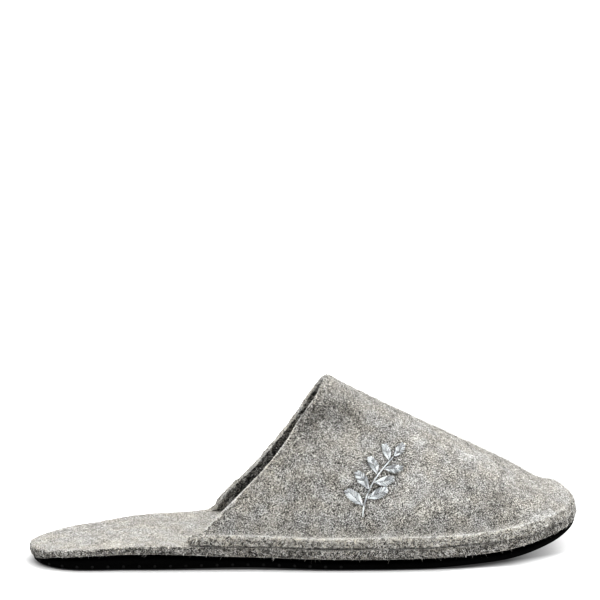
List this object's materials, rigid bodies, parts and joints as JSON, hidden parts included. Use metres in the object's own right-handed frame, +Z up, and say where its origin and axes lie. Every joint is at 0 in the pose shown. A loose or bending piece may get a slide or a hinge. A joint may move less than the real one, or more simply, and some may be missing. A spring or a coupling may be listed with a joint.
{
  "type": "slipper",
  "caption": "Backless felt house slipper: one-piece upper turned out in a flange on a thick felt insole, with a black rubber outsole.",
  "frame": {"origin": "on the floor, under the middle of the slipper's box", "axes": "+X from the heel to the toe, +Y towards the inner side of the right foot, +Z up"},
  "size_m": [0.28, 0.1036, 0.0905],
  "materials": {
    "black_rubber": "matt, with small nubs underneath",
    "pale_felt": "dense pale grey felt with a rough cut edge",
    "grey_felt": "mottled grey felt with short fuzz"
  },
  "bodies": {
    "root": {"outsole": "black_rubber", "insole": "pale_felt", "upper": "grey_felt"}
  },
  "joints": []
}
